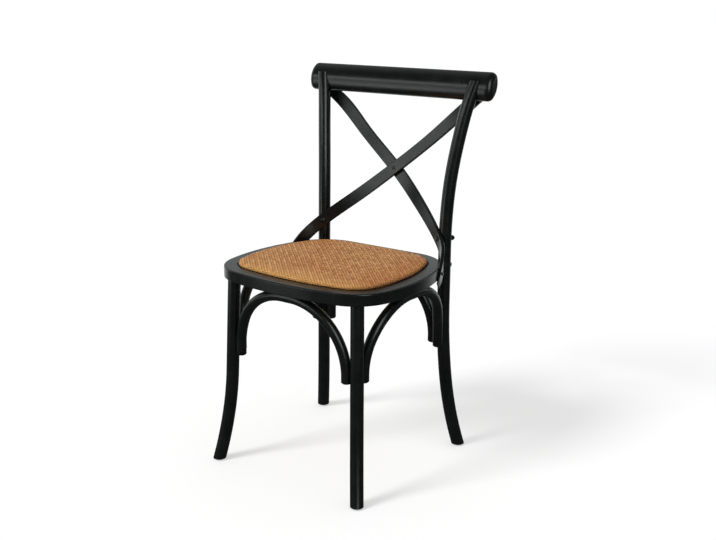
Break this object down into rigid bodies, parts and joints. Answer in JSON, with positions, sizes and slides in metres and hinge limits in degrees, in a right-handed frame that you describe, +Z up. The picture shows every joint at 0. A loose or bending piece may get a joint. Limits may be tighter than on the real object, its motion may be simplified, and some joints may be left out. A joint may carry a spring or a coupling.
{
  "type": "cross back chair",
  "caption": "Black bentwood dining chair with crossed back straps, a barrel crest rail, arched leg braces and a woven rattan seat pad.",
  "frame": {"origin": "on the floor, at the centre of the chair's bounding box in plan", "axes": "+Z up, the chair faces -Y, +X to the right as seen from the front"},
  "size_m": [0.506, 0.4689, 0.879],
  "materials": {
    "black_lacquer": "satin black lacquer over a faint open grain",
    "rattan": "natural woven rattan, matt with a slight sheen",
    "plywood": "raw sanded plywood",
    "beech": "raw turned beech",
    "black_steel": "black finished steel, satin",
    "zinc_steel": "zinc plated steel",
    "nylon": "black moulded nylon"
  },
  "bodies": {
    "root": {"crest_rail": "black_lacquer", "rear_post_left": "black_lacquer", "rear_post_right": "black_lacquer", "front_leg_left": "black_lacquer", "front_leg_right": "black_lacquer", "strap_front": "black_lacquer", "strap_rear": "black_lacquer", "seat_ring": "black_lacquer", "seat_board": "plywood", "woven_pad": "rattan", "brace_front": "black_lacquer", "brace_rear": "black_lacquer", "brace_left": "black_lacquer", "brace_right": "black_lacquer", "strap_lap_screw": "black_steel", "strap_post_bolts": "black_steel", "strap_cap_nuts": "black_steel", "strap_seat_screws": "black_steel", "post_seat_bolts": "black_steel", "post_barrel_nuts": "zinc_steel", "crest_screws": "black_steel", "brace_leg_screws": "black_steel", "brace_seat_screws": "black_steel", "leg_dowels": "beech", "board_screws": "zinc_steel", "foot_glides": "nylon"}
  },
  "joints": []
}
